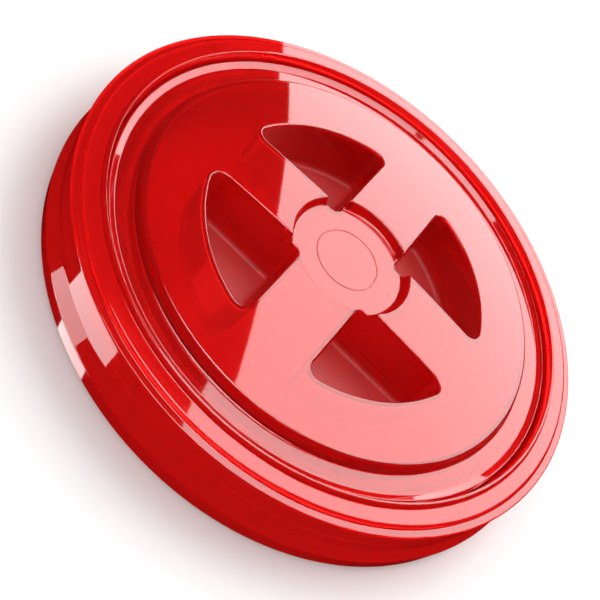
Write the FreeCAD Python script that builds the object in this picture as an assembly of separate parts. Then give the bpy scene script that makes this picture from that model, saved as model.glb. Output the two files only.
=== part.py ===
import FreeCAD, Part
import math
import os

# Spin-in lid for a round pail: an adapter ring that snaps over its rim, and an inner lid that screws
# into the ring.
# Origin: centre of the flat bottom edge of the adapter's skirt. +Z is up, out of the pail.
# All lengths are in millimetres and all angles in degrees.

V = FreeCAD.Vector
ORIGIN = V(0, 0, 0)
UP = V(0, 0, 1)
FULL_TURN = 360.0
EMBED = 0.4  # how deep an added rib or thread ridge is rooted in its wall, so that they fuse

# Adapter ring, heights above the skirt's bottom edge
WIDEST_Z = 10.7
WAIST_Z = 20.5
LIP_UNDER_Z = 38.0
LIP_EDGE_FOOT_Z = 38.2
LIP_Z = 40.0
LIP_EDGE_TOP_Z = 40.1
LEDGE_Z = 40.4
FLAT_Z = 43.0
FLAT_OUTER_Z = 42.7  # the flat falls gently outwards
FLAT_INNER_Z = 43.25
CREST_Z = 46.0
LAND_Z = 34.0
PLUG_FOOT_Z = 4.0
PLUG_TAPER_Z = 12.0
COLLAR_FOOT_Z = 10.0
BEAD_FOOT_Z = 20.3
BEAD_Z = 23.4
BEAD_TOP_Z = 25.4

# Adapter ring, radii
SKIRT_FOOT_R = 155.9
WIDEST_R = 157.9
WAIST_R = 154.9
LIP_R = 157.0
STEP_FOOT_R = 152.4
STEP_R = 151.9
BEAD_R = 150.9
CREST_FOOT_R = 142.9
CREST_OUTER_R = 141.7
CREST_INNER_R = 140.2
PLUG_INNER_R = 138.6
PLUG_OUTER_R = 141.2
PLUG_TIP_R = 140.4
COLLAR_R = 124.0
WALL = 2.4
GUSSET_COUNT = 32
GUSSET_THICKNESS = 1.6
GUSSET_FOOT_Z = 13.0

# Roundings
FINE_ROUND = 0.5
EDGE_ROUND = 0.6
CREST_ROUND = 0.7
INNER_ROUND = 0.8
LIP_ROUND = 0.9
STEP_ROUND = 1.8
PLATEAU_ROUND = 1.9
LEAD_ROUND = 2.0
SWELL_ROUND = 3.0
WAIST_ROUND = 5.0
RIM_ROUND = 6.0

# Screw thread, two starts, right-handed
STARTS = 2
LEAD = 12.0
RIDGE_HEIGHT = 2.5
RIDGE_BASE = 3.0
RIDGE_CREST = 1.4
MALE_ROOT_R = 120.9
MALE_START_Z = 17.0
FEMALE_START_Z = 14.0
RIDGE_TURNS = 1.0

# Spin lid
RIM_R = 137.9
RIM_Z = 41.5
RIM_SLOPE_R = 133.4
RIM_UNDER_R = 137.4
RIM_UNDER_Z = 38.7
FLANGE_BEND_R = 134.0
FLANGE_OUTER_Z = 39.6  # the flange falls gently outwards, like the dome
FLANGE_INNER_Z = 40.4
PLATEAU_R = 121.0
PLATEAU_FOOT_R = 122.0
PLATEAU_EDGE_Z = 46.6
DOME_TOP_Z = 53.6
DOME_EDGE_R = 120.0
FLANGE_THICKNESS = 2.2
LID_SKIRT_FOOT_Z = 14.0
HUB_EDGE_R = 36.6
HUB_FLOOR_R = 35.0
HUB_FLOOR_Z = 47.8
HUB_RING_R = 19.0
HUB_RING_WIDTH = 1.0
HUB_RING_HEIGHT = 0.35
ON_DOME = 0.05  # an edge whose middle is this close to the dome lies on it
ARM_HALF_WIDTH = 21.5
POCKET_OUTER_R = 86.3
POCKET_FLOOR_Z = 18.0
POCKET_INNER_CORNER_R = 4.5
POCKET_OUTER_CORNER_R = 6.0
POCKET_DRAFT = 1.0
POCKET_FLOOR_FILLET = 3.0
POCKET_MOUTH_FILLET = 1.6
POCKET_WALL = 2.2
POCKET_COUNT = 4

# Seals
GASKET_INNER_R = 143.2
GASKET_OUTER_R = 151.4
GASKET_THICKNESS = 2.6
LID_SEAL_R = 128.8
LID_SEAL_SECTION_R = 1.6
SEAL_CLEARANCE = 0.3


def tangent_points(before, corner, after, radius):
    """Points where a fillet of the given radius leaves the two straight runs at a corner, and its middle."""
    to_before = (before - corner).normalize()
    to_after = (after - corner).normalize()
    half = math.acos(max(-1.0, min(1.0, to_before.dot(to_after)))) / 2
    reach = radius / math.tan(half)
    bisector = (to_before + to_after).normalize()
    middle = corner + bisector * (radius / math.sin(half) - radius)
    return corner + to_before * reach, middle, corner + to_after * reach


def rounded_outline(corners):
    """Closed wire in the XZ half-plane from (radius, height, fillet) corners."""
    points = [V(r, 0, z) for r, z, fillet in corners]
    count = len(points)
    edges = []
    starts = []
    ends = []
    arcs = []
    for i, (r, z, fillet) in enumerate(corners):
        if fillet > 0:
            first, middle, last = tangent_points(points[i - 1], points[i], points[(i + 1) % count], fillet)
            arcs.append(Part.Arc(first, middle, last).toShape())
        else:
            first = points[i]
            last = points[i]
            arcs.append(None)
        starts.append(first)
        ends.append(last)
    for i in range(count):
        if arcs[i]:
            edges.append(arcs[i])
        edges.append(Part.makeLine(ends[i], starts[(i + 1) % count]))
    return Part.Wire(edges)


def revolved(corners):
    """Ring or disc made by turning an outline once round the Z axis."""
    return Part.Face(rounded_outline(corners)).revolve(ORIGIN, UP, FULL_TURN)


def helical_ridge(root_r, crest_r, start_z, start_angle):
    """One thread ridge: a trapezoid swept along a right-hand helix, standing from root_r to crest_r."""
    outward = 1 if root_r > crest_r else -1
    rooted_r = root_r + outward * EMBED
    helix = Part.makeHelix(LEAD, LEAD * RIDGE_TURNS, rooted_r)
    section = Part.makePolygon([
        V(rooted_r, 0, -RIDGE_BASE / 2),
        V(crest_r, 0, -RIDGE_CREST / 2),
        V(crest_r, 0, RIDGE_CREST / 2),
        V(rooted_r, 0, RIDGE_BASE / 2),
        V(rooted_r, 0, -RIDGE_BASE / 2),
    ])
    ridge = Part.Wire(helix).makePipeShell([section], True, True)
    ridge.translate(V(0, 0, start_z))
    ridge.rotate(ORIGIN, UP, start_angle)
    return ridge


def thread(root_r, crest_r, start_z):
    """All starts of one side of the screw thread."""
    return [
        helical_ridge(root_r, crest_r, start_z, k * FULL_TURN / STARTS)
        for k in range(STARTS)
    ]


def gusset(angle):
    """Radial rib between the threaded collar and the plug wall, hanging from the seal land."""
    inner_r = COLLAR_R + WALL - EMBED
    outer_r = PLUG_INNER_R + EMBED
    top_z = LAND_Z - WALL + EMBED
    panel = Part.makePolygon([
        V(inner_r, 0, top_z),
        V(inner_r, 0, GUSSET_FOOT_Z),
        V(outer_r, 0, GUSSET_FOOT_Z - (outer_r - inner_r) / 2),
        V(outer_r, 0, top_z),
        V(inner_r, 0, top_z),
    ])
    rib = Part.Face(panel).extrude(V(0, GUSSET_THICKNESS, 0))
    rib.translate(V(0, -GUSSET_THICKNESS / 2, 0))
    rib.rotate(ORIGIN, UP, angle)
    return rib


def adapter_ring():
    """Outer ring: stepped skirt, rim channel, plug wall, seal land and threaded collar in one moulding."""
    ceiling_z = FLAT_Z - WALL
    body = revolved([
        (SKIRT_FOOT_R - WALL, 0, EDGE_ROUND),
        (SKIRT_FOOT_R, 0, INNER_ROUND),
        (WIDEST_R, WIDEST_Z, SWELL_ROUND),
        (WAIST_R, WAIST_Z, WAIST_ROUND),
        (WAIST_R, LIP_UNDER_Z, EDGE_ROUND),
        (LIP_R, LIP_EDGE_FOOT_Z, FINE_ROUND),
        (LIP_R, LIP_EDGE_TOP_Z, LIP_ROUND),
        (STEP_FOOT_R, LEDGE_Z, INNER_ROUND),
        (STEP_R, FLAT_OUTER_Z, STEP_ROUND),
        (CREST_FOOT_R, FLAT_INNER_Z, LIP_ROUND),
        (CREST_OUTER_R, CREST_Z, CREST_ROUND),
        (CREST_INNER_R, CREST_Z, FINE_ROUND),
        (PLUG_INNER_R, LAND_Z, INNER_ROUND),
        (COLLAR_R, LAND_Z, EDGE_ROUND),
        (COLLAR_R, COLLAR_FOOT_Z, EDGE_ROUND),
        (COLLAR_R + WALL, COLLAR_FOOT_Z, EDGE_ROUND),
        (COLLAR_R + WALL, LAND_Z - WALL, INNER_ROUND),
        (PLUG_INNER_R, LAND_Z - WALL, INNER_ROUND),
        (PLUG_INNER_R, PLUG_FOOT_Z, EDGE_ROUND),
        (PLUG_TIP_R, PLUG_FOOT_Z, EDGE_ROUND),
        (PLUG_OUTER_R, PLUG_TAPER_Z, LEAD_ROUND),
        (PLUG_OUTER_R, ceiling_z, INNER_ROUND),
        (WAIST_R - WALL, ceiling_z, INNER_ROUND),
        (WAIST_R - WALL, BEAD_TOP_Z, FINE_ROUND),
        (BEAD_R, BEAD_Z, INNER_ROUND),
        (WAIST_R - WALL, BEAD_FOOT_Z, LEAD_ROUND),
        (WIDEST_R - WALL, WIDEST_Z, SWELL_ROUND),
    ])
    gussets = [gusset(k * FULL_TURN / GUSSET_COUNT) for k in range(GUSSET_COUNT)]
    ridges = thread(COLLAR_R, COLLAR_R - RIDGE_HEIGHT, FEMALE_START_Z)
    return body.fuse(gussets + ridges)


def rim_gasket():
    """Flat ring against the channel's ceiling, which the pail's rim presses into."""
    ceiling_z = FLAT_Z - WALL
    return revolved([
        (GASKET_INNER_R, ceiling_z, 0),
        (GASKET_INNER_R, ceiling_z - GASKET_THICKNESS, INNER_ROUND),
        (GASKET_OUTER_R, ceiling_z - GASKET_THICKNESS, INNER_ROUND),
        (GASKET_OUTER_R, ceiling_z, 0),
    ])


def lid_seal_ring():
    """O-ring between the adapter's land and the lid's flange."""
    centre_z = LAND_Z + SEAL_CLEARANCE + LID_SEAL_SECTION_R
    return Part.makeTorus(LID_SEAL_R, LID_SEAL_SECTION_R, V(0, 0, centre_z), UP)


def dome_radius():
    """Radius of the plateau's shallow spherical top."""
    rise = DOME_TOP_Z - PLATEAU_EDGE_Z
    return (DOME_EDGE_R ** 2 + rise ** 2) / (2 * rise)


def dome_height(r):
    """Height of the dome at a radius."""
    sphere_r = dome_radius()
    return DOME_TOP_Z - sphere_r + math.sqrt(sphere_r ** 2 - r ** 2)


def dome_cap(inset):
    """Everything under the dome, down to below the lid: a solid that trims what is to follow the dome."""
    sphere_r = dome_radius()
    return Part.makeSphere(sphere_r - inset, V(0, 0, DOME_TOP_Z - sphere_r))


def lid_flange_and_skirt():
    """Rim, flange and threaded skirt, open in the middle, with the foot of the plateau."""
    skirt_inner_r = MALE_ROOT_R - WALL
    under_z = LIP_Z - FLANGE_THICKNESS
    top_z = dome_height(skirt_inner_r)
    return revolved([
        (skirt_inner_r, top_z, 0),
        (skirt_inner_r, LID_SKIRT_FOOT_Z, FINE_ROUND),
        (MALE_ROOT_R, LID_SKIRT_FOOT_Z, FINE_ROUND),
        (MALE_ROOT_R, under_z, INNER_ROUND),
        (FLANGE_BEND_R, under_z, LEAD_ROUND),
        (RIM_UNDER_R, RIM_UNDER_Z, FINE_ROUND),
        (RIM_R, RIM_Z, CREST_ROUND),
        (RIM_SLOPE_R, FLANGE_OUTER_Z, RIM_ROUND),
        (PLATEAU_FOOT_R, FLANGE_INNER_Z, LIP_ROUND),
        (PLATEAU_R, dome_height(PLATEAU_R), PLATEAU_ROUND),
    ])


def plateau():
    """The domed top plate inside the skirt, of even thickness."""
    outer_r = MALE_ROOT_R - WALL + EMBED
    slab = Part.makeCylinder(outer_r, DOME_TOP_Z, ORIGIN, UP)
    return slab.common(dome_cap(0)).cut(dome_cap(WALL))


def hub_recess(inset):
    """Shallow round dish in the middle of the plateau, or the same dish grown by a wall thickness."""
    floor_z = HUB_FLOOR_Z - inset
    top_z = DOME_TOP_Z + WALL
    slope = (HUB_EDGE_R - HUB_FLOOR_R) / (dome_height(HUB_EDGE_R) - HUB_FLOOR_Z)
    top_r = HUB_FLOOR_R + inset + slope * (top_z - floor_z)
    return revolved([
        (0, floor_z, 0),
        (HUB_FLOOR_R + inset, floor_z, LEAD_ROUND),
        (top_r, top_z, 0),
        (0, top_z, 0),
    ])


def pocket_outline(z, grow):
    """Outline of the pocket in the first quadrant at one height, grown outwards all round."""
    near = ARM_HALF_WIDTH - grow
    far_r = POCKET_OUTER_R + grow
    inner_r = POCKET_INNER_CORNER_R + grow
    outer_r = POCKET_OUTER_CORNER_R + grow
    # Centre of an outer corner's fillet: outer_r inside both the arm's edge and the outer arc.
    corner_a = near + outer_r
    corner_b = math.sqrt((far_r - outer_r) ** 2 - corner_a ** 2)
    touch = far_r / (far_r - outer_r)
    diagonal = math.sqrt(0.5)
    lean = (V(corner_b, corner_a, 0).normalize() + V(0, -1, 0)).normalize()
    first_arc = Part.Arc(
        V(corner_b, near, z),
        V(corner_b, corner_a, z) + lean * outer_r,
        V(corner_b * touch, corner_a * touch, z),
    )
    outer_arc = Part.Arc(
        V(corner_b * touch, corner_a * touch, z),
        V(far_r * diagonal, far_r * diagonal, z),
        V(corner_a * touch, corner_b * touch, z),
    )
    second_arc = Part.Arc(
        V(corner_a * touch, corner_b * touch, z),
        V(corner_a, corner_b, z) + V(lean.y, lean.x, 0) * outer_r,
        V(near, corner_b, z),
    )
    inner_arc = Part.Arc(
        V(near, near + inner_r, z),
        V(near + inner_r - inner_r * diagonal, near + inner_r - inner_r * diagonal, z),
        V(near + inner_r, near, z),
    )
    return Part.Wire([
        Part.makeLine(V(near + inner_r, near, z), V(corner_b, near, z)),
        first_arc.toShape(),
        outer_arc.toShape(),
        second_arc.toShape(),
        Part.makeLine(V(near, corner_b, z), V(near, near + inner_r, z)),
        inner_arc.toShape(),
    ])


def pocket_block(floor_z, grow, floor_fillet):
    """Drafted block that fills one pocket, or that pocket and its walls, with a rounded floor."""
    top_z = DOME_TOP_Z + WALL
    block = Part.makeLoft([
        pocket_outline(floor_z, grow - POCKET_DRAFT),
        pocket_outline(top_z, grow),
    ], True, True)
    floor_edges = [edge for edge in block.Edges if edge.BoundBox.ZMax < floor_z + EMBED]
    return block.makeFillet(floor_fillet, floor_edges)


def pocket_pair(index):
    """Outer block and cavity of one finger pocket."""
    wall_block = pocket_block(POCKET_FLOOR_Z - POCKET_WALL, POCKET_WALL, POCKET_FLOOR_FILLET + POCKET_WALL)
    cavity = pocket_block(POCKET_FLOOR_Z, 0, POCKET_FLOOR_FILLET)
    for block in (wall_block, cavity):
        block.rotate(ORIGIN, UP, index * FULL_TURN / POCKET_COUNT)
    return wall_block, cavity


def mouth_edges(lid):
    """Edges round the pockets' and the hub's mouths on the lid's top surface."""
    found = []
    for edge in lid.Edges:
        box = edge.BoundBox
        reach = max(abs(box.XMin), abs(box.XMax), abs(box.YMin), abs(box.YMax))
        middle = edge.valueAt((edge.FirstParameter + edge.LastParameter) / 2)
        on_dome = abs(middle.z - dome_height(math.hypot(middle.x, middle.y))) < ON_DOME
        if on_dome and reach < POCKET_OUTER_R + POCKET_DRAFT:
            found.append(edge)
    return found


def spin_lid():
    """Inner lid: flange, domed plateau, hub dish, finger pockets and threaded skirt in one moulding."""
    pairs = [pocket_pair(k) for k in range(POCKET_COUNT)]
    cups = [wall_block.common(dome_cap(EMBED)) for wall_block, cavity in pairs]
    dish = hub_recess(WALL).common(dome_cap(EMBED))
    body = plateau().fuse([lid_flange_and_skirt(), dish] + cups)
    body = body.cut([hub_recess(0)] + [cavity for wall_block, cavity in pairs])
    body = body.removeSplitter()
    body = body.makeFillet(POCKET_MOUTH_FILLET, mouth_edges(body))
    ring = Part.makeCylinder(HUB_RING_R + HUB_RING_WIDTH / 2, HUB_RING_HEIGHT + EMBED)
    ring = ring.cut(Part.makeCylinder(HUB_RING_R - HUB_RING_WIDTH / 2, HUB_RING_HEIGHT + EMBED))
    ring.translate(V(0, 0, HUB_FLOOR_Z - EMBED))
    ridges = thread(MALE_ROOT_R, MALE_ROOT_R + RIDGE_HEIGHT, MALE_START_Z)
    return body.fuse([ring] + ridges)


PARTS = {
    "adapter_ring": adapter_ring,
    "rim_gasket": rim_gasket,
    "spin_lid": spin_lid,
    "lid_seal_ring": lid_seal_ring,
}

os.makedirs("parts", exist_ok=True)
for name, make in PARTS.items():
    shape = make()
    shape.exportStep("parts/" + name + ".step")
    print(name, len(shape.Solids), "solid(s), valid", shape.isValid(), round(shape.Volume), "mm3")
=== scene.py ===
"""Spin-in pail lid: a snap-on adapter ring and a screw-in lid in clear red plastic, and two seals.

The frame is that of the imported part: +Z up along the screw axis, with the skirt's bottom edge at
z = 0. The lid's own pieces hold their sizes in millimetres, which become metres through MM. The
studio's sizes are in metres.
"""

import logging
import math
from bisect import bisect_right
from dataclasses import dataclass, field
from enum import Enum
from typing import Sequence

import bpy
from mathutils import Matrix, Vector


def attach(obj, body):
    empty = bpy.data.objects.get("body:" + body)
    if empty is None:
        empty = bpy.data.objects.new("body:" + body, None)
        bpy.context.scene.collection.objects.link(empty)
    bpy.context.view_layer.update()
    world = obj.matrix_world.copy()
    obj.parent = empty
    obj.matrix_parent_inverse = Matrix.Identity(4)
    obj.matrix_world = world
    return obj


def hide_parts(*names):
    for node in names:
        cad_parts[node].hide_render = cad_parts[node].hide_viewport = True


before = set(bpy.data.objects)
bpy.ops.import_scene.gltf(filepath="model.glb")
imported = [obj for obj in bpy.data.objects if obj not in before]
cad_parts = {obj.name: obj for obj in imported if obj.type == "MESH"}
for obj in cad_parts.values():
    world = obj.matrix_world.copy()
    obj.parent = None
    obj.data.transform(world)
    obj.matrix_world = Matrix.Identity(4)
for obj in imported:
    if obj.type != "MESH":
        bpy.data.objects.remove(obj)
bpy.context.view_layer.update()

LOG = logging.getLogger("pail_lid")
MM = 0.001
QUARTER_TURN = math.pi / 2
FULL_TURN = 2 * math.pi
WELD_GRID = 1e-6

Piece = bpy.types.Object
Finish = bpy.types.Material
Loop = Sequence[tuple[Vector, Vector]]  # points of a pocket's plan, each with its outward direction


class Body(Enum):
    """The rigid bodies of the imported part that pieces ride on."""

    ADAPTER = "adapter"
    LID_SEAL = "lid_seal"
    LID = "lid"


class Slot(Enum):
    """The record's material slots."""

    ADAPTER = "adapter_shell"
    LID = "lid_shell"
    SEAL = "seal"


# Outlines and surfaces


@dataclass(frozen=True)
class Corner:
    """One corner of a turned outline and the radius of its fillet, in millimetres."""

    r: float
    z: float
    fillet: float


@dataclass(frozen=True)
class Station:
    """A point on a turned outline, in metres, and the direction that its surface faces."""

    r: float
    z: float
    normal_r: float
    normal_z: float


class TurnedOutline:
    """A run of straight lines joined by fillet arcs, sampled with exact normals."""

    ARC_STEP = math.radians(9.0)

    def __init__(self, *rows: tuple[float, float, float], closed: bool = True) -> None:
        """Samples the outline.

        Args:
            *rows: Radius, height and fillet of each corner, with the material on the left.
            closed: Whether the last corner joins the first.
        """
        corners = [Corner(*row) for row in rows]
        self.closed = closed
        self.stations: list[Station] = []
        count = len(corners)
        for i, corner in enumerate(corners):
            here = Vector((corner.r, corner.z))
            inner = closed or 0 < i < count - 1
            if inner:
                before = corners[i - 1]
                after = corners[(i + 1) % count]
                self._add_fillet(
                    here, Vector((before.r, before.z)), Vector((after.r, after.z)), corner.fillet
                )
            else:
                other = corners[i + 1] if i == 0 else corners[i - 1]
                run = Vector((other.r, other.z)) - here
                if i > 0:
                    run = -run
                self._add(here, self._right_of(run))

    @staticmethod
    def _right_of(run: Vector) -> Vector:
        """Unit normal on the right-hand side of a run."""
        return Vector((run.y, -run.x)).normalized()

    def _add(self, point: Vector, normal: Vector) -> None:
        """Stores one station, in metres."""
        self.stations.append(Station(point.x * MM, point.y * MM, normal.x, normal.y))

    def _add_fillet(self, here: Vector, before: Vector, after: Vector, radius: float) -> None:
        """Samples the arc that rounds one corner.

        Args:
            here: The corner.
            before: The corner before it.
            after: The corner after it.
            radius: The arc's radius.
        """
        run_in = (here - before).normalized()
        run_out = (after - here).normalized()
        turn = math.atan2(run_in.x * run_out.y - run_in.y * run_out.x, run_in.dot(run_out))
        reach = radius * abs(math.tan(turn / 2))
        start = here - run_in * reach
        side = 1.0 if turn > 0 else -1.0
        centre = start + Vector((-run_in.y, run_in.x)) * (side * radius)
        steps = max(2, math.ceil(abs(turn) / self.ARC_STEP))
        first = start - centre
        for k in range(steps + 1):
            angle = turn * k / steps
            c, s = math.cos(angle), math.sin(angle)
            spoke = Vector((first.x * c - first.y * s, first.x * s + first.y * c))
            self._add(centre + spoke, spoke.normalized() * side)


def spoke(angle: float) -> Vector:
    """Unit direction in plan, at an angle from +X."""
    return Vector((math.cos(angle), math.sin(angle)))


def put_in_scene(name: str, data: bpy.types.ID) -> Piece:
    """Makes an object and links it to the scene.

    Args:
        name: The object's name.
        data: Its mesh, light or camera.

    Returns:
        The object.
    """
    made = bpy.data.objects.new(name, data)
    bpy.context.scene.collection.objects.link(made)
    return made


@dataclass
class SurfaceBuilder:
    """Collects vertices with exact normals, welds the seams and makes one smooth mesh object."""

    points: list[Vector] = field(default_factory=list)
    normals: list[Vector] = field(default_factory=list)
    faces: list[tuple[int, ...]] = field(default_factory=list)
    _found: dict[tuple[int, ...], int] = field(default_factory=dict)
    _sheet: int = 0

    def new_sheet(self) -> None:
        """Starts a sheet whose vertices aren't welded to those of earlier sheets."""
        self._sheet += 1

    def vertex(self, point: Vector, normal: Vector) -> int:
        """Adds a vertex, or finds the one already there.

        Args:
            point: Its place.
            normal: The direction that the surface faces there.

        Returns:
            The vertex's index.
        """
        key = (*(round(value / WELD_GRID) for value in point), self._sheet)
        if key not in self._found:
            self._found[key] = len(self.points)
            self.points.append(point.copy())
            self.normals.append(normal.normalized())
        return self._found[key]

    def face(self, corners: Sequence[int]) -> None:
        """Adds a face, unless it has shrunk to a line.

        Args:
            corners: Its vertices, of which repeated ones are left out.
        """
        kept: list[int] = []
        for corner in corners:
            if corner not in kept:
                kept.append(corner)
        if len(kept) > 2:
            self.faces.append(tuple(kept))

    def grid(self, rows: Sequence[Sequence[int]], wrap: bool) -> None:
        """Joins rows of vertices with quads.

        Args:
            rows: Vertex indices. The surface faces a viewer who sees each row run left to right
                and the next one above it.
            wrap: Whether each row closes on itself.
        """
        for lower, upper in zip(rows, rows[1:]):
            count = len(lower)
            for i in range(count if wrap else count - 1):
                j = (i + 1) % count
                self.face((lower[i], lower[j], upper[j], upper[i]))

    def finish(self, name: str) -> Piece:
        """Makes the object.

        Args:
            name: The object's name.

        Returns:
            The new object, linked to the scene.
        """
        mesh = bpy.data.meshes.new(name)
        mesh.from_pydata([tuple(p) for p in self.points], [], self.faces)
        mesh.validate()
        mesh.shade_smooth()
        mesh.normals_split_custom_set_from_vertices([tuple(n) for n in self.normals])
        return put_in_scene(name, mesh)


def lathe(builder: SurfaceBuilder, outline: TurnedOutline, segments: int) -> None:
    """Turns an outline once round the screw axis.

    Args:
        builder: Takes the surface.
        outline: What is turned, with its solid on the left-hand side.
        segments: Steps in one turn.
    """
    rings: list[list[int]] = []
    for station in outline.stations:
        ring: list[int] = []
        for k in range(segments):
            angle = FULL_TURN * k / segments
            c, s = math.cos(angle), math.sin(angle)
            ring.append(builder.vertex(
                Vector((station.r * c, station.r * s, station.z)),
                Vector((station.normal_r * c, station.normal_r * s, station.normal_z)),
            ))
        rings.append(ring)
    if outline.closed:
        rings.append(rings[0])
    builder.grid(rings, wrap=True)


def turned_piece(name: str, outline: TurnedOutline, segments: int) -> Piece:
    """Turns an outline into an object of its own.

    Args:
        name: The object's name.
        outline: What is turned.
        segments: Steps in one turn.

    Returns:
        The object.
    """
    builder = SurfaceBuilder()
    lathe(builder, outline, segments)
    return builder.finish(name)


def smooth_step(low: float, high: float, value: float) -> float:
    """Rises smoothly from 0 at low to 1 at high."""
    share = min(1.0, max(0.0, (value - low) / (high - low)))
    return share * share * (3 - 2 * share)


# Screw thread and ribs


@dataclass(frozen=True)
class ScrewThread:
    """One side of the two-start, right-hand screw thread, in millimetres.

    A ridge's foot is buried by rooted in the wall. Its flanks end at the share shoulder of its
    height, and at its ends the share end_height is left.
    """

    root_r: float
    crest_r: float
    start_z: float
    lead: float = 12.0
    starts: int = 2
    turns: float = 1.0
    base: float = 3.0
    crest: float = 1.4
    rooted: float = 0.4
    shoulder: float = 0.86
    rounding: float = 0.25
    end_height: float = 0.1
    steps: int = 180
    taper_steps: int = 8

    def build(self, name: str) -> Piece:
        """Sweeps every ridge along its helix, with ends that sink into the wall.

        Args:
            name: The object's name.

        Returns:
            The ridges, as one object.
        """
        builder = SurfaceBuilder()
        outward = 1.0 if self.root_r < self.crest_r else -1.0
        for start in range(self.starts):
            builder.new_sheet()
            rows: list[list[int]] = []
            for k in range(self.steps + 1):
                turn = self.turns * k / self.steps
                angle = FULL_TURN * (turn + start / self.starts)
                centre_z = self.start_z + self.lead * turn
                lift = smooth_step(0, self.taper_steps, min(k, self.steps - k))
                rows.append(self._section(builder, angle, centre_z, outward, lift))
            builder.grid(rows, wrap=True)
            builder.face(list(reversed(rows[0])))
            builder.face(rows[-1])
        return builder.finish(name)

    def _section(
        self, builder: SurfaceBuilder, angle: float, centre_z: float, outward: float, lift: float
    ) -> list[int]:
        """Adds one cross-section of a ridge.

        Args:
            builder: Takes the vertices.
            angle: Where round the axis it stands.
            centre_z: Height of its middle.
            outward: 1 for a ridge that faces out from the axis, -1 for one that faces in.
            lift: How far the ridge stands up, from 0 at its end to 1.

        Returns:
            The section's vertices, in order.
        """
        foot = self.root_r - outward * self.rooted
        height = (self.crest_r - foot) * (self.end_height + (1 - self.end_height) * lift)
        flank = (self.base - self.crest) / 2
        shoulder_z = self.crest / 2 + flank * (1 - self.shoulder)
        top_z = self.crest / 2 - self.rounding
        corners = [
            (0.0, -self.base / 2, 0.0, -1.0),
            (self.shoulder, -shoulder_z, 0.4, -0.9),
            (1.0, -top_z, 1.0, -0.15),
            (1.0, top_z, 1.0, 0.15),
            (self.shoulder, shoulder_z, 0.4, 0.9),
            (0.0, self.base / 2, 0.0, 1.0),
        ]
        if outward > 0:
            corners.reverse()
        c, s = math.cos(angle), math.sin(angle)
        section: list[int] = []
        for share, rise, normal_r, normal_z in corners:
            r = (foot + height * share) * MM
            section.append(builder.vertex(
                Vector((r * c, r * s, (centre_z + rise) * MM)),
                Vector((outward * normal_r * c, outward * normal_r * s, normal_z)),
            ))
        return section


@dataclass(frozen=True)
class GussetRow:
    """The radial ribs between the threaded collar and the plug wall, in millimetres."""

    inner_r: float = 126.2
    outer_r: float = 138.8
    top_z: float = 31.9
    foot_z: float = 13.0
    outer_foot_z: float = 6.7
    thickness: float = 1.6
    count: int = 32
    bevel: float = 0.3

    def build(self, name: str) -> Piece:
        """Makes every rib as a thin bevelled plate.

        Args:
            name: The object's name.

        Returns:
            The ribs, as one object.
        """
        mesh = bpy.data.meshes.new(name)
        points: list[tuple[float, float, float]] = []
        faces: list[tuple[int, ...]] = []
        outline = (
            (self.inner_r, self.foot_z), (self.outer_r, self.outer_foot_z),
            (self.outer_r, self.top_z), (self.inner_r, self.top_z),
        )
        for k in range(self.count):
            angle = FULL_TURN * k / self.count
            c, s = math.cos(angle), math.sin(angle)
            first = len(points)
            for side in (-0.5, 0.5):
                offset = side * self.thickness
                points += [
                    ((r * c - offset * s) * MM, (r * s + offset * c) * MM, z * MM)
                    for r, z in outline
                ]
            plate = [(0, 1, 2, 3), (7, 6, 5, 4)]
            plate += [((i + 1) % 4, i, i + 4, (i + 1) % 4 + 4) for i in range(4)]
            faces += [tuple(first + i for i in corners) for corners in plate]
        mesh.from_pydata(points, [], faces)
        piece = put_in_scene(name, mesh)
        bevel = piece.modifiers.new("edges", "BEVEL")
        bevel.width = self.bevel * MM
        bevel.segments = 2
        return piece


# Finishes


class NodeSheet:
    """A material's node tree, with short calls to fill it."""

    def __init__(self, name: str) -> None:
        """Starts an empty material.

        Args:
            name: The material's name.
        """
        self.material = bpy.data.materials.new(name)
        self.material.use_nodes = True
        self.tree = self.material.node_tree
        self.tree.nodes.clear()

    def node(
        self, kind: str, inputs: dict[str, object] | None = None, **settings: object
    ) -> bpy.types.Node:
        """Adds a node.

        Args:
            kind: Blender's name of the node type.
            inputs: For each input, its value or the output that it is joined to.
            **settings: Properties of the node.

        Returns:
            The node.
        """
        made = self.tree.nodes.new(kind)
        for key, value in settings.items():
            setattr(made, key, value)
        for key, value in (inputs or {}).items():
            if isinstance(value, bpy.types.NodeSocket):
                self.tree.links.new(value, made.inputs[key])
            else:
                made.inputs[key].default_value = value
        return made

    def surface(self, **inputs: object) -> Finish:
        """Adds the surface shader, which ends the material.

        Args:
            **inputs: The shader's inputs, with underscores for the spaces in their names.

        Returns:
            The material.
        """
        named = {key.replace("_", " "): value for key, value in inputs.items()}
        shader = self.node("ShaderNodeBsdfPrincipled", named)
        self.node("ShaderNodeOutputMaterial", {"Surface": shader.outputs["BSDF"]})
        return self.material


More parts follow.
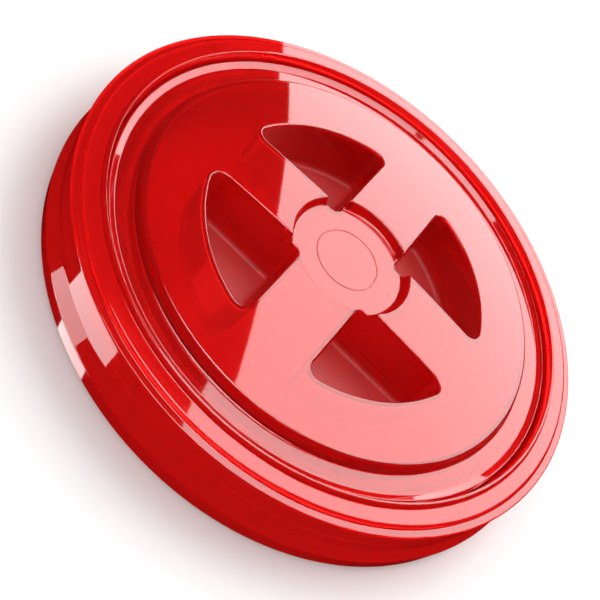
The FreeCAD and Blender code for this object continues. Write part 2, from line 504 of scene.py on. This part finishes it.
@dataclass(frozen=True)
class ClearRedPlastic:
    """High-gloss red polypropylene that lets a little light through.

    Args:
        name: The material's name.
        deep: Colour of the plastic.
        warm: Colour of the faint flow streaks.
        clearness: How much light passes through the wall.
        gloss: Roughness of the polished surface.
        satin: Roughness low down on the piece, or None where all of it is polished.
        satin_below: Height up to which it is satin, in millimetres.
        gloss_above: Height from which it is polished, in millimetres.
        streak_scale: Flow streaks in a metre.
        streak_detail: How finely they break up.
        streak_bend: How much they wander.
        grain_scale: Grains of the mould's texture in a metre.
        grain_height: Strength of that texture.
    """

    name: str
    deep: tuple[float, float, float] = (0.74, 0.010, 0.010)
    warm: tuple[float, float, float] = (0.82, 0.015, 0.014)
    clearness: float = 0.70
    gloss: float = 0.03
    satin: float | None = None
    satin_below: float = 24.0
    gloss_above: float = 27.0
    streak_scale: float = 9.0
    streak_detail: float = 3.0
    streak_bend: float = 0.6
    grain_scale: float = 420.0
    grain_height: float = 0.0012

    def make(self) -> Finish:
        """Builds the material.

        Returns:
            The material.
        """
        sheet = NodeSheet(self.name)
        place = sheet.node("ShaderNodeTexCoord").outputs["Object"]
        streaks = sheet.node("ShaderNodeTexNoise", {
            "Vector": place, "Scale": self.streak_scale, "Detail": self.streak_detail,
            "Distortion": self.streak_bend,
        })
        tint = sheet.node("ShaderNodeMix", {
            "A": (*self.deep, 1.0), "B": (*self.warm, 1.0), "Factor": streaks.outputs["Fac"],
        }, data_type="RGBA")
        grain = sheet.node("ShaderNodeTexNoise", {"Vector": place, "Scale": self.grain_scale})
        bump = sheet.node("ShaderNodeBump", {
            "Strength": self.grain_height, "Distance": MM, "Height": grain.outputs["Fac"],
        })
        return sheet.surface(
            IOR=1.5, Transmission_Weight=self.clearness, Roughness=self._roughness(sheet, place),
            Base_Color=tint.outputs["Result"], Normal=bump.outputs["Normal"],
        )

    def _roughness(
        self, sheet: NodeSheet, place: bpy.types.NodeSocket
    ) -> float | bpy.types.NodeSocket:
        """The surface's roughness.

        Args:
            sheet: Takes the nodes.
            place: The output that gives the place on the object.

        Returns:
            One value, or the output that goes from satin to polished with height.
        """
        if self.satin is None:
            return self.gloss
        height = sheet.node("ShaderNodeSeparateXYZ", {"Vector": place})
        polish = sheet.node("ShaderNodeMapRange", {
            "Value": height.outputs["Z"], "From Min": self.satin_below * MM,
            "From Max": self.gloss_above * MM, "To Min": self.satin, "To Max": self.gloss,
        })
        return polish.outputs["Result"]


@dataclass(frozen=True)
class SealRubber:
    """Soft black rubber with a fine satin grain, whose depth is in millimetres."""

    name: str = "black_seal_rubber"
    dark: tuple[float, float, float] = (0.012, 0.012, 0.013)
    dusty: tuple[float, float, float] = (0.035, 0.034, 0.033)
    roughness: float = 0.52
    dust_scale: float = 160.0
    dust_detail: float = 5.0
    grain: float = 0.15
    grain_depth: float = 0.2

    def make(self) -> Finish:
        """Builds the material.

        Returns:
            The material.
        """
        sheet = NodeSheet(self.name)
        dust = sheet.node("ShaderNodeTexNoise", {
            "Vector": sheet.node("ShaderNodeTexCoord").outputs["Object"],
            "Scale": self.dust_scale, "Detail": self.dust_detail,
        }).outputs["Fac"]
        tint = sheet.node("ShaderNodeMix", {
            "A": (*self.dark, 1.0), "B": (*self.dusty, 1.0), "Factor": dust,
        }, data_type="RGBA")
        bump = sheet.node("ShaderNodeBump", {
            "Strength": self.grain, "Distance": self.grain_depth * MM, "Height": dust,
        })
        return sheet.surface(
            Roughness=self.roughness, Base_Color=tint.outputs["Result"],
            Normal=bump.outputs["Normal"],
        )


# The object's sub-assemblies


def dress(piece: Piece, finish: Finish, body: Body) -> Piece:
    """Gives a piece its finish and body.

    Args:
        piece: The piece.
        finish: Its material.
        body: The rigid body that it moves with.

    Returns:
        The same piece.
    """
    piece.data.materials.clear()
    piece.data.materials.append(finish)
    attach(piece, body.value)
    LOG.info("%s rides on %s in %s", piece.name, body.value, finish.name)
    return piece


@dataclass(frozen=True)
class AdapterRing:
    """The outer ring that snaps over the pail's rim, in millimetres."""

    wall: float = 2.4
    segments: int = 720
    skirt_foot_r: float = 155.9
    widest_r: float = 157.9
    widest_z: float = 10.7
    waist_r: float = 154.9
    waist_z: float = 20.5
    lip_r: float = 157.0
    lip_under_z: float = 38.0
    lip_corner_z: float = 38.2
    lip_top_z: float = 40.1
    tread_r: float = 152.4
    tread_z: float = 40.4
    step_r: float = 151.9
    flat_z: float = 43.0
    flat_outer_z: float = 42.7
    flat_inner_z: float = 43.25
    crest_foot_r: float = 142.9
    crest_outer_r: float = 141.7
    crest_inner_r: float = 140.2
    crest_z: float = 46.0
    land_z: float = 34.0
    collar_r: float = 124.0
    collar_foot_z: float = 10.0
    plug_inner_r: float = 138.6
    plug_outer_r: float = 141.2
    plug_tip_r: float = 140.4
    plug_foot_z: float = 4.0
    plug_taper_z: float = 12.0
    bead_r: float = 150.9
    bead_foot_z: float = 20.3
    bead_z: float = 23.4
    bead_top_z: float = 25.4
    ridge_height: float = 2.5
    thread_start_z: float = 14.0

    def outline(self) -> TurnedOutline:
        """The ring's cross-section.

        Returns:
            The closed outline, from the skirt's foot up the outside.
        """
        ceiling_z = self.flat_z - self.wall
        web_z = self.land_z - self.wall
        collar_outer_r = self.collar_r + self.wall
        bore_r = self.waist_r - self.wall
        return TurnedOutline(
            (self.skirt_foot_r - self.wall, 0, 0.6),
            (self.skirt_foot_r, 0, 0.8),
            (self.widest_r, self.widest_z, 3.0),
            (self.waist_r, self.waist_z, 5.0),
            (self.waist_r, self.lip_under_z, 0.6),
            (self.lip_r, self.lip_corner_z, 0.5),
            (self.lip_r, self.lip_top_z, 0.9),
            (self.tread_r, self.tread_z, 0.8),
            (self.step_r, self.flat_outer_z, 1.8),
            (self.crest_foot_r, self.flat_inner_z, 0.9),
            (self.crest_outer_r, self.crest_z, 0.7),
            (self.crest_inner_r, self.crest_z, 0.5),
            (self.plug_inner_r, self.land_z, 0.8),
            (self.collar_r, self.land_z, 0.6),
            (self.collar_r, self.collar_foot_z, 0.6),
            (collar_outer_r, self.collar_foot_z, 0.6),
            (collar_outer_r, web_z, 0.8),
            (self.plug_inner_r, web_z, 0.8),
            (self.plug_inner_r, self.plug_foot_z, 0.6),
            (self.plug_tip_r, self.plug_foot_z, 0.6),
            (self.plug_outer_r, self.plug_taper_z, 2.0),
            (self.plug_outer_r, ceiling_z, 0.8),
            (bore_r, ceiling_z, 0.8),
            (bore_r, self.bead_top_z, 0.5),
            (self.bead_r, self.bead_z, 0.8),
            (bore_r, self.bead_foot_z, 2.0),
            (self.widest_r - self.wall, self.widest_z, 3.0),
        )

    def build(self, plastic: Finish) -> None:
        """Makes and dresses the shell, its gussets and its half of the thread.

        Args:
            plastic: Their finish.
        """
        shell = turned_piece("adapter_ring_shell", self.outline(), self.segments)
        dress(shell, plastic, Body.ADAPTER)
        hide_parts("adapter_ring")
        dress(GussetRow().build("adapter_gussets"), plastic, Body.ADAPTER)
        thread = ScrewThread(
            self.collar_r, self.collar_r - self.ridge_height, self.thread_start_z
        )
        dress(thread.build("adapter_thread"), plastic, Body.ADAPTER)


@dataclass(frozen=True)
class Dome:
    """The plateau's shallow spherical top with the round hub dish sunk into it, in millimetres."""

    top_z: float = 53.6
    edge_z: float = 46.6
    edge_r: float = 120.0
    hub_edge_r: float = 36.6
    hub_floor_r: float = 35.0
    hub_floor_z: float = 47.8
    brow_fillet: float = 1.5
    foot_fillet: float = 2.0

    @property
    def sphere_r(self) -> float:
        """Radius of the sphere that the top is part of."""
        rise = self.top_z - self.edge_z
        return (self.edge_r ** 2 + rise ** 2) / (2 * rise)

    def sphere_z(self, r: float, inset: float) -> float:
        """Height of the sphere, set in by inset, at a distance from the axis."""
        return self.top_z - self.sphere_r + math.sqrt((self.sphere_r - inset) ** 2 - r ** 2)


class HeightProfile:
    """Height and slope of the domed plate against distance from the axis, in metres."""

    PAST_DISH = 20.0

    def __init__(self, dome: Dome, inset: float) -> None:
        """Samples the hub dish once.

        Args:
            dome: The domed plate.
            inset: 0 for its top side, or the wall thickness for its underside.
        """
        self.dome = dome
        self.inset = inset
        floor_r = dome.hub_floor_r + inset
        floor_z = dome.hub_floor_z - inset
        edge_r = dome.hub_edge_r + inset
        far_r = edge_r + self.PAST_DISH
        grow = 0.5 * inset
        outline = TurnedOutline(
            (0, floor_z, 0),
            (floor_r, floor_z, dome.foot_fillet + grow),
            (edge_r, dome.sphere_z(edge_r, inset), dome.brow_fillet + grow),
            (far_r, dome.sphere_z(far_r, inset), 0),
            closed=False,
        )
        self.stations = outline.stations
        self.radii = [station.r for station in self.stations]
        self.dish_end = self.stations[-2].r

    def at(self, r: float) -> tuple[float, float]:
        """Height and slope at a distance from the axis.

        Args:
            r: The distance, in metres.

        Returns:
            The height in metres, and the slope, which is negative where the plate falls outwards.
        """
        if r >= self.dish_end:
            reach = self.dome.sphere_r - self.inset
            drop = math.sqrt(reach ** 2 - (r / MM) ** 2)
            return self.dome.sphere_z(r / MM, self.inset) * MM, -(r / MM) / drop
        i = min(max(bisect_right(self.radii, r) - 1, 0), len(self.radii) - 2)
        low, high = self.stations[i], self.stations[i + 1]
        share = (r - low.r) / (high.r - low.r)
        z = low.z + (high.z - low.z) * share
        normal_r = low.normal_r + (high.normal_r - low.normal_r) * share
        normal_z = low.normal_z + (high.normal_z - low.normal_z) * share
        return z, -normal_r / normal_z


@dataclass(frozen=True)
class Pocket:
    """Plan and depth of one finger pocket in the first quadrant, in millimetres.

    The steps are those of half the plan. Along a side, even_share of their spacing is even, and
    the power crowding draws the rest towards the hub.
    """

    arm_half_width: float = 21.5
    outer_r: float = 86.3
    inner_corner: float = 4.5
    outer_corner: float = 6.0
    floor_z: float = 18.0
    draft: float = 1.0
    floor_fillet: float = 3.0
    mouth_fillet: float = 1.6
    under_mouth_fillet: float = 1.0
    wall: float = 2.2
    inner_steps: int = 6
    side_steps: int = 36
    outer_steps: int = 5
    arc_steps: int = 40
    even_share: float = 0.3
    crowding: float = 2.2

    def half_outline(self) -> list[tuple[Vector, Vector]]:
        """Half of the plan.

        Returns:
            Points and outward directions, from the inner corner's middle to the outer arc's.
        """
        near = self.arm_half_width
        inner_centre = Vector((near + self.inner_corner, near + self.inner_corner))
        corner_y = near + self.outer_corner
        corner_x = math.sqrt((self.outer_r - self.outer_corner) ** 2 - corner_y ** 2)
        outer_centre = Vector((corner_x, corner_y))
        points: list[tuple[Vector, Vector]] = []
        for k in range(self.inner_steps):
            out = spoke(math.radians(225 + 45 * k / self.inner_steps))
            points.append((inner_centre + out * self.inner_corner, out))
        for k in range(self.side_steps):
            share = k / self.side_steps
            x = inner_centre.x + (corner_x - inner_centre.x) * self._crowd(share)
            points.append((Vector((x, near)), Vector((0, -1))))
        start = -QUARTER_TURN
        stop = math.atan2(corner_y, corner_x)
        steps = 2 * self.outer_steps
        for k in range(steps):
            out = spoke(start + (stop - start) * k / steps)
            points.append((outer_centre + out * self.outer_corner, out))
        for k in range(self.arc_steps + 1):
            out = spoke(stop + (QUARTER_TURN / 2 - stop) * k / self.arc_steps)
            points.append((out * self.outer_r, out))
        return points

    def _crowd(self, share: float) -> float:
        """Moves even shares closer together near 0, where the hub dish's edge crosses the side."""
        return self.even_share * share + (1 - self.even_share) * share ** self.crowding

    def outline(self) -> list[tuple[Vector, Vector]]:
        """The whole plan, anticlockwise from the inner corner's middle."""
        half = self.half_outline()
        return half + [(p.yx, n.yx) for p, n in reversed(half[1:-1])]


@dataclass(frozen=True)
class WellSkin:
    """One side of the plate and wells: 1 for the top and -1 for the underside, in millimetres.

    It lies inset below the dome's top side, and grow outside the pocket's plan.
    """

    side: float
    inset: float
    grow: float
    mouth: float
    floor_z: float
    floor_fillet: float


class WellZone(Enum):
    """The stretches of a well's side, from the top down."""

    MOUTH = "mouth"
    WALL = "wall"
    FLOOR_EDGE = "floor edge"


@dataclass(frozen=True)
class WellStep:
    """One row of a well's side, in millimetres.

    Its rise is counted from the plate in the mouth and from the fillet's top at the floor's edge.
    On the wall it is the share of the way down. The surface faces across the well and up.
    """

    zone: WellZone
    offset: float
    rise: float
    across: float
    up: float


@dataclass
class PlateSide:
    """One side of the lid's domed plate with its four wells, in millimetres."""

    builder: SurfaceBuilder
    dome: Dome
    pocket: Pocket
    skin: WellSkin
    join_r: float
    cell_rings: int = 12
    arc_rings: int = 8
    wall_rings: int = 6
    bend_steps: int = 5
    floor_shares: tuple[float, ...] = (0.7, 0.4, 0.15)
    wall_lean: float = 0.03

    def __post_init__(self) -> None:
        """Samples the plate's height."""
        self.profile = HeightProfile(self.dome, self.skin.inset)

    def add(self) -> None:
        """Adds the plate and its wells, quadrant by quadrant."""
        outline = self.pocket.outline()
        for quarter in range(4):
            turn = Matrix.Rotation(quarter * QUARTER_TURN, 2)
            loop = [(turn @ p, turn @ n) for p, n in outline]
            rows = self._cell_rows(quarter, loop) + self._well_rows(loop)
            if self.skin.side < 0:
                rows = [list(reversed(row)) for row in rows]
            self.builder.grid(rows, wrap=True)
            self._add_floor(rows[-1], loop)

    def _plate_vertex(self, place: Vector) -> int:
        """Adds a vertex on the domed plate, with the plate's own normal.

        Args:
            place: Its place in plan, in metres.

        Returns:
            The vertex's index.
        """
        x, y = place
        r = math.hypot(x, y)
        z, slope = self.profile.at(r)
        normal = Vector((-slope * x / r, -slope * y / r, 1.0)) if r > 0 else Vector((0, 0, 1.0))
        return self.builder.vertex(Vector((x, y, z)), normal * self.skin.side)

    def _cell_rows(self, quarter: int, loop: Loop) -> list[list[int]]:
        """Adds the plate round one well.

        Args:
            quarter: Which quadrant.
            loop: The pocket's plan there.

        Returns:
            Rows of vertices, from the quadrant's border to the well's mouth.
        """
        mouth = [(p + n * (self.skin.grow + self.skin.mouth)) * MM for p, n in loop]
        border, bends = self._border(quarter, mouth)
        rows: list[list[int]] = []
        for ring in range(self.cell_rings + 1):
            share = 1 - ring / self.cell_rings
            rows.append([
                self._plate_vertex(self._between(m, b, share, bend))
                for m, b, bend in zip(mouth, border, bends)
            ])
        return rows

    def _border(self, quarter: int, mouth: Sequence[Vector]) -> tuple[list[Vector], list[float]]:
        """Points on the quadrant's border that face the mouth's points.

        Args:
            quarter: Which quadrant.
            mouth: The well's mouth.

        Returns:
            The border's points, and how far each one's row follows circles round the axis.
        """
        pocket = self.pocket
        first_angle = quarter * QUARTER_TURN
        inner = pocket.inner_steps
        side_end = inner + pocket.side_steps
        corner_mid = side_end + pocket.outer_steps
        last = corner_mid + pocket.outer_steps + pocket.arc_steps
        join_r = self.join_r * MM
        start_r = mouth[inner].length
        end_r = mouth[side_end].length
        points: list[Vector] = []
        bends: list[float] = []
        count = len(mouth)
        for k in range(count):
            index = k if k <= last else count - k
            if index <= inner:
                r, angle, bend = start_r * index / inner, 0.0, 0.0
            elif index <= side_end:
                r, angle = mouth[k].length, 0.0
                bend = smooth_step(0, self.bend_steps, index - inner)
            elif index <= corner_mid:
                share = (index - side_end) / pocket.outer_steps
                r, angle, bend = end_r + (join_r - end_r) * share, 0.0, 1.0
            else:
                share = (index - corner_mid) / (last - corner_mid)
                r, angle, bend = join_r, share * QUARTER_TURN / 2, 1.0
            if k > last:
                angle = QUARTER_TURN - angle
            angle += first_angle
            points.append(Vector((r * math.cos(angle), r * math.sin(angle))))
            bends.append(bend)
        return points, bends

    @staticmethod
    def _between(inner: Vector, outer: Vector, share: float, bend: float) -> Vector:
        """A point between the mouth and the border, straight across or round the axis.

        Args:
            inner: The mouth's point.
            outer: The border's point.
            share: 0 at the mouth and 1 at the border.
            bend: 0 to go straight across, and 1 to go round the axis.

        Returns:
            The point.
        """
        straight = inner.lerp(outer, share)
        if bend == 0 or outer.length == 0:
            return straight
        r = inner.length + (outer.length - inner.length) * share
        first = math.atan2(inner.y, inner.x)
        step = math.atan2(outer.y, outer.x) - first
        step = (step + math.pi) % FULL_TURN - math.pi
        angle = first + step * share
        round_axis = Vector((r * math.cos(angle), r * math.sin(angle)))
        return straight.lerp(round_axis, bend)

    def _well_steps(self) -> list[WellStep]:
        """Lays out the rows of a well's side.

        Returns:
            The rows, from below the mouth's edge to the floor's edge.
        """
        skin = self.skin
        fillet = skin.floor_fillet
        angles = (QUARTER_TURN * k / self.arc_rings for k in range(1, self.arc_rings + 1))
        arc = [(math.cos(angle), math.sin(angle)) for angle in angles]
        steps: list[WellStep] = []
        for c, s in arc:
            steps.append(WellStep(
                WellZone.MOUTH, skin.grow + skin.mouth * (1 - s), skin.mouth * (c - 1), s, c
            ))
        for k in range(1, self.wall_rings + 1):
            share = k / self.wall_rings
            steps.append(WellStep(
                WellZone.WALL, skin.grow - self.pocket.draft * share, share, 1.0, self.wall_lean
            ))
        for c, s in arc:
            offset = skin.grow - self.pocket.draft - fillet * (1 - c)
            steps.append(WellStep(WellZone.FLOOR_EDGE, offset, -fillet * s, c, s))
        return steps

    def _well_rows(self, loop: Loop) -> list[list[int]]:
        """Adds a well's rounded mouth, drafted wall and floor fillet.

        Args:
            loop: The pocket's plan.

        Returns:
            Rows of vertices, from below the mouth's edge to the floor's edge.
        """
        skin = self.skin
        foot_z = skin.floor_z + skin.floor_fillet
        rows: list[list[int]] = []
        for step in self._well_steps():
            row: list[int] = []
            for p, n in loop:
                rim = (p + n * (skin.grow + skin.mouth)) * MM
                rim_z, slope = self.profile.at(rim.length)
                place = (p + n * step.offset) * MM
                normal = Vector((-n.x * step.across, -n.y * step.across, step.up))
                if step.zone is WellZone.MOUTH:
                    z = rim_z + step.rise * MM
                    lean = Vector((-slope * rim.x / rim.length, -slope * rim.y / rim.length, 1.0))
                    normal = lean.normalized() * step.up + Vector((-n.x, -n.y, 0)) * step.across
                elif step.zone is WellZone.WALL:
                    top_z = rim_z - skin.mouth * MM
                    z = top_z + (foot_z * MM - top_z) * step.rise
                else:
                    z = (foot_z + step.rise) * MM
                row.append(self.builder.vertex(Vector((place.x, place.y, z)), normal * skin.side))
            rows.append(row)
        return rows

    def _add_floor(self, edge: Sequence[int], loop: Loop) -> None:
        """Closes a well's floor with rings that shrink to its middle.

        Args:
            edge: The floor's outermost row of vertices.
            loop: The pocket's plan.
        """
        middle = sum((p for p, n in loop), Vector((0, 0))) / len(loop) * MM
        rows = [list(edge)]
        for share in self.floor_shares:
            row: list[int] = []
            for index in edge:
                start = self.builder.points[index]
                flat = middle.lerp(start.xy, share)
                row.append(self.builder.vertex(
                    Vector((flat.x, flat.y, start.z)), Vector((0, 0, self.skin.side))
                ))
            rows.append(row)
        self.builder.grid(rows, wrap=True)
        self.builder.face(rows[-1])


@dataclass(frozen=True)
class SpinLid:
    """The inner lid that screws into the adapter ring, in millimetres."""

    dome: Dome = Dome()
    pocket: Pocket = Pocket()
    wall: float = 2.4
    join_r: float = 113.0
    plateau_r: float = 121.0
    plateau_foot_r: float = 122.0
    flange_inner_z: float = 40.4
    flange_outer_z: float = 39.6
    flange_under_z: float = 37.8
    rim_slope_r: float = 133.4
    rim_slope_under_r: float = 134.0
    rim_r: float = 137.9
    rim_z: float = 41.5
    rim_under_r: float = 137.4
    rim_under_z: float = 38.7
    skirt_r: float = 120.9
    skirt_foot_z: float = 14.0
    ridge_height: float = 2.5
    thread_start_z: float = 17.0
    mark_r: float = 19.0
    mark_foot: float = 0.6
    mark_crest: float = 0.4
    mark_height: float = 0.3
    mark_segments: int = 180

    def build(self, plastic: Finish) -> None:
        """Makes and dresses the shell, its half of the thread and the hub's ring mark.

        Args:
            plastic: Their finish.
        """
        pocket = self.pocket
        top = WellSkin(1.0, 0, 0, pocket.mouth_fillet, pocket.floor_z, pocket.floor_fillet)
        under = WellSkin(
            -1.0, self.wall, pocket.wall, pocket.under_mouth_fillet, pocket.floor_z - pocket.wall,
            pocket.floor_fillet + pocket.wall,
        )
        builder = SurfaceBuilder()
        for skin in (top, under):
            PlateSide(builder, self.dome, pocket, skin, self.join_r).add()
        lathe(builder, self.edge_outline(), self._segments())
        shell = dress(builder.finish("spin_lid_shell"), plastic, Body.LID)
        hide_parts("spin_lid")
        thread = ScrewThread(self.skirt_r, self.skirt_r + self.ridge_height, self.thread_start_z)
        dress(thread.build("spin_lid_thread"), plastic, Body.LID)
        dress(self._ring_mark(), plastic, Body.LID)

    def _segments(self) -> int:
        """Steps round the edge, which match the plate's outer ring."""
        return 8 * (self.pocket.outer_steps + self.pocket.arc_steps)

    def edge_outline(self) -> TurnedOutline:
        """Cross-section of everything outside the domed plate.

        Returns:
            The outline, from the plate's underside round the skirt, flange and rim to its top.
        """
        inner_r = self.skirt_r - self.wall
        dome = self.dome
        return TurnedOutline(
            (self.join_r, dome.sphere_z(self.join_r, self.wall), 0),
            (inner_r, dome.sphere_z(inner_r, self.wall), 1.2),
            (inner_r, self.skirt_foot_z, 0.5),
            (self.skirt_r, self.skirt_foot_z, 0.5),
            (self.skirt_r, self.flange_under_z, 0.8),
            (self.rim_slope_under_r, self.flange_under_z, 2.0),
            (self.rim_under_r, self.rim_under_z, 0.5),
            (self.rim_r, self.rim_z, 0.7),
            (self.rim_slope_r, self.flange_outer_z, 1.5),
            (self.plateau_foot_r, self.flange_inner_z, 2.2),
            (self.plateau_r, dome.sphere_z(self.plateau_r, 0), 1.9),
            (self.join_r, dome.sphere_z(self.join_r, 0), 0),
            closed=False,
        )

    def _ring_mark(self) -> Piece:
        """Makes the fine raised ring in the middle of the hub.

        Returns:
            The ring.
        """
        foot_z = self.dome.hub_floor_z - self.mark_height
        crest_z = self.dome.hub_floor_z + self.mark_height
        return turned_piece("hub_ring_mark", TurnedOutline(
            (self.mark_r - self.mark_foot, foot_z, 0.05),
            (self.mark_r + self.mark_foot, foot_z, 0.05),
            (self.mark_r + self.mark_crest, crest_z, 0.25),
            (self.mark_r - self.mark_crest, crest_z, 0.25),
        ), self.mark_segments)


@dataclass(frozen=True)
class Seals:
    """The two rubber seals, in millimetres."""

    gasket_inner_r: float = 143.2
    gasket_outer_r: float = 151.4
    gasket_top_z: float = 40.6
    gasket_thickness: float = 2.6
    ring_r: float = 128.8
    ring_section_r: float = 1.6
    ring_z: float = 35.9
    roundness: float = 0.98
    segments: int = 360

    def build(self, rubber: Finish) -> None:
        """Makes and dresses both seals.

        Args:
            rubber: Their finish.
        """
        foot_z = self.gasket_top_z - self.gasket_thickness
        gasket = turned_piece("rim_gasket_rubber", TurnedOutline(
            (self.gasket_inner_r, foot_z, 0.8),
            (self.gasket_outer_r, foot_z, 0.8),
            (self.gasket_outer_r, self.gasket_top_z, 0.2),
            (self.gasket_inner_r, self.gasket_top_z, 0.2),
        ), self.segments)
        dress(gasket, rubber, Body.ADAPTER)
        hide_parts("rim_gasket")
        r, z, s = self.ring_r, self.ring_z, self.ring_section_r
        around = ((-s, -s), (s, -s), (s, s), (-s, s))
        ring = turned_piece("lid_seal_rubber", TurnedOutline(
            *((r + across, z + up, s * self.roundness) for across, up in around)
        ), self.segments)
        dress(ring, rubber, Body.LID_SEAL)
        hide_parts("lid_seal_ring")


# Studio


@dataclass(frozen=True)
class Viewpoint:
    """Where the camera stands and how it is held, in degrees and metres, with its lens in mm."""

    azimuth: float = -2.5
    elevation: float = 44.08
    roll: float = 45.79
    distance: float = 0.7652
    aim: tuple[float, float, float] = (-0.0040, -0.0400, 0.0400)
    lens: float = 88.13

    def back(self) -> Vector:
        """Where the camera lies as seen from its aim point.

        Returns:
            The unit direction.
        """
        a = math.radians(self.azimuth)
        e = math.radians(self.elevation)
        return Vector((math.sin(a) * math.cos(e), -math.cos(a) * math.cos(e), math.sin(e)))

    def place(self) -> None:
        """Makes the scene's camera."""
        data = bpy.data.cameras.new("studio_camera")
        data.lens = self.lens
        data.sensor_width = 36.0
        data.clip_start = 0.01
        camera = put_in_scene("studio_camera", data)
        back = self.back()
        level_right = Vector((0, 0, 1)).cross(back).normalized()
        level_up = back.cross(level_right)
        c, s = math.cos(math.radians(self.roll)), math.sin(math.radians(self.roll))
        right = level_right * c + level_up * s
        up = level_up * c - level_right * s
        turn = Matrix((right, up, back)).transposed().to_4x4()
        camera.matrix_world = Matrix.Translation(Vector(self.aim) + back * self.distance) @ turn
        bpy.context.scene.camera = camera


class Reach(Enum):
    """What a softbox does: it lights the object, or is only mirrored in its gloss."""

    LIGHTS = "lights"
    MIRRORED = "mirrored"


@dataclass(frozen=True)
class Softbox:
    """One soft rectangular studio light, in metres, turned about its own axis in degrees."""

    name: str
    place: tuple[float, float, float]
    aim: tuple[float, float, float]
    size: tuple[float, float]
    radiance: float
    reach: Reach
    turn: float = 0.0

    def light(self) -> None:
        """Makes the light."""
        data = bpy.data.lights.new(self.name, "AREA")
        data.shape = "RECTANGLE"
        data.size, data.size_y = self.size
        data.energy = self.radiance * math.pi * self.size[0] * self.size[1]
        lamp = put_in_scene(self.name, data)
        back = (Vector(self.place) - Vector(self.aim)).normalized()
        lamp.matrix_world = (
            Matrix.Translation(self.place)
            @ back.to_track_quat("Z", "Y").to_matrix().to_4x4()
            @ Matrix.Rotation(math.radians(self.turn), 4, "Z")
        )
        lamp.visible_camera = False
        lamp.visible_glossy = self.reach is Reach.MIRRORED
        lamp.visible_diffuse = self.reach is Reach.LIGHTS


@dataclass(frozen=True)
class Studio:
    """Pale floor and soft light round the object, in metres.

    The key softbox lies between key_inner and key_outer from the axis, and runs from key_near to
    key_far along those edges. The two low softboxes are aimed at the spot skirt.
    """

    floor_half: float = 3.0
    floor_tone: float = 0.9
    sky: float = 0.92
    key_turn: float = 19.0
    key_inner: float = 0.17
    key_outer: float = 1.35
    key_near: float = 0.20
    key_far: float = 3.0
    key_height: float = 1.0
    key_radiance: float = 6.4
    skirt: tuple[float, float, float] = (-0.115, -0.107, 0.02)

    def build(self) -> None:
        """Makes the floor, the sky and the lights."""
        self._floor()
        self._sky()
        for softbox in self._softboxes():
            softbox.light()
        bpy.context.scene.view_settings.view_transform = "Standard"

    def _softboxes(self) -> tuple[Softbox, ...]:
        """The lights. One lights the object, and the others give its gloss something to mirror.

        Returns:
            The softboxes.
        """
        return (
            self._mirrored_key(),
            Softbox(
                name="overhead_softbox", place=(0.4, 0.9, 1.5), aim=(0, 0, 0), size=(1.2, 1.2),
                radiance=3.4, reach=Reach.LIGHTS,
            ),
            Softbox(
                name="top_softbox", place=(-0.05, -0.05, 1.2), aim=(0, 0, 0), size=(0.7, 0.7),
                radiance=8.0, reach=Reach.MIRRORED,
            ),
            Softbox(
                name="window_softbox", place=(-0.871, -0.598, -0.611), aim=self.skirt,
                size=(0.55, 0.74), radiance=5.0, reach=Reach.MIRRORED,
            ),
            Softbox(
                name="low_softbox", place=(-0.501, -0.189, -1.007), aim=self.skirt,
                size=(0.24, 0.2), radiance=4.5, reach=Reach.MIRRORED,
            ),
        )

    def _mirrored_key(self) -> Softbox:
        """Lays out the big softbox whose mirror image covers most of the lid.

        Returns:
            The softbox, level and overhead.
        """
        angle = math.radians(self.key_turn)
        across = Vector((math.cos(angle), math.sin(angle), 0))
        along = Vector((-math.sin(angle), math.cos(angle), 0))
        middle = (
            across * (self.key_inner + self.key_outer) / 2
            + along * (self.key_near + self.key_far) / 2
        )
        return Softbox(
            name="key_softbox",
            place=(middle.x, middle.y, self.key_height),
            aim=(middle.x, middle.y, 0),
            size=(self.key_outer - self.key_inner, self.key_far - self.key_near),
            radiance=self.key_radiance,
            reach=Reach.MIRRORED,
            turn=self.key_turn,
        )

    def _floor(self) -> None:
        """Makes the floor, which the plastic's gloss doesn't mirror."""
        mesh = bpy.data.meshes.new("studio_floor")
        h = self.floor_half
        mesh.from_pydata([(-h, -h, 0), (h, -h, 0), (h, h, 0), (-h, h, 0)], [], [(0, 1, 2, 3)])
        floor = put_in_scene("studio_floor", mesh)
        mesh.materials.append(NodeSheet("pale_floor").surface(
            Base_Color=(*[self.floor_tone] * 3, 1), Roughness=0.8, Specular_IOR_Level=0.0
        ))
        floor.visible_glossy = False
        floor.visible_shadow = False

    def _sky(self) -> None:
        """Makes the even light from all round, which the gloss doesn't mirror."""
        world = bpy.data.worlds.new("studio_world")
        bpy.context.scene.world = world
        world.use_nodes = True
        background = world.node_tree.nodes["Background"]
        background.inputs["Color"].default_value = (1, 1, 1, 1)
        background.inputs["Strength"].default_value = self.sky
        world.cycles_visibility.glossy = False


def main() -> None:
    """Builds every piece, then the studio."""
    logging.basicConfig(level=logging.INFO, format="%(message)s")
    # The ring's copy of the clear red plastic has a lighter base colour than the lid's. This is
    # painted light: it brightens the ring to stand in for the glow of the lit plastic.
    ring_red_painted_lighter = ClearRedPlastic(
        "clear_red_ring_plastic_painted_lighter",
        deep=(0.93, 0.012, 0.012), warm=(0.98, 0.016, 0.015), clearness=0.66,
    ).make()
    lid_red = ClearRedPlastic("clear_red_lid_plastic", satin=0.55).make()
    rubber = SealRubber().make()
    AdapterRing().build(ring_red_painted_lighter)
    SpinLid().build(lid_red)
    Seals().build(rubber)
    Studio().build()
    Viewpoint().place()


if __name__ == "__main__":
    main()
